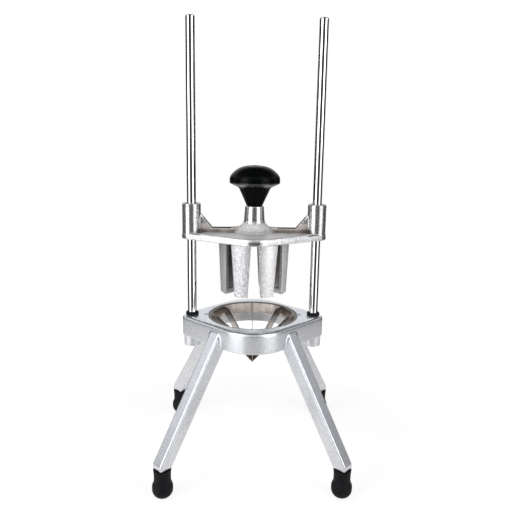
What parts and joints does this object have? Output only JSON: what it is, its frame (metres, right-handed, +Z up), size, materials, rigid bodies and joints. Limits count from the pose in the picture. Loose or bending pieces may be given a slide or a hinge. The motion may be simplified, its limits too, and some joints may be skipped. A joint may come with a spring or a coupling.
{
  "type": "apple wedger press",
  "caption": "Hand press that slices fruit into wedges: a knob-topped head with pusher fingers slides on rods above a ring of crossed blades on splayed legs.",
  "frame": {"origin": "on the floor, midway between the four feet and under the crossing of the blades", "axes": "+Z up along the rods, +X from the left rod to the right rod, -Y towards the front"},
  "size_m": [0.2117, 0.2118, 0.496],
  "materials": {
    "cast_aluminium": "tumbled and polished casting",
    "rod_steel": "ground bright",
    "blade_steel": "brushed",
    "ring_steel": "brushed",
    "screw_steel": "plain",
    "brass_parts": "turned",
    "foot_rubber": "matt moulded",
    "bumper_rubber": "matt moulded",
    "knob_plastic": "polished moulded"
  },
  "bodies": {
    "stand": {"base_casting": "cast_aluminium", "rubber_foot_front_left": "foot_rubber", "rubber_foot_front_right": "foot_rubber", "rubber_foot_rear_left": "foot_rubber", "rubber_foot_rear_right": "foot_rubber", "foot_studs": "screw_steel", "guide_rod_left": "rod_steel", "guide_rod_right": "rod_steel", "rod_screws": "screw_steel", "rod_lock_washers": "screw_steel", "rod_bumper_left": "bumper_rubber", "rod_bumper_right": "bumper_rubber", "blade_ring": "ring_steel", "wedge_blade_1": "blade_steel", "wedge_blade_2": "blade_steel", "wedge_blade_3": "blade_steel", "wedge_blade_4": "blade_steel", "blade_ring_screws": "screw_steel"},
    "sliding_head": {"crosshead_casting": "cast_aluminium", "guide_bush_upper_left": "brass_parts", "guide_bush_lower_left": "brass_parts", "guide_bush_upper_right": "brass_parts", "guide_bush_lower_right": "brass_parts", "knob": "knob_plastic", "knob_insert": "brass_parts", "knob_stud": "screw_steel"}
  },
  "joints": [
    {"name": "head_slide", "type": "slide", "parent": "stand", "child": "sliding_head", "axis": [0, 0, 1], "range_m": [-0.0856, 0.19]}
  ]
}
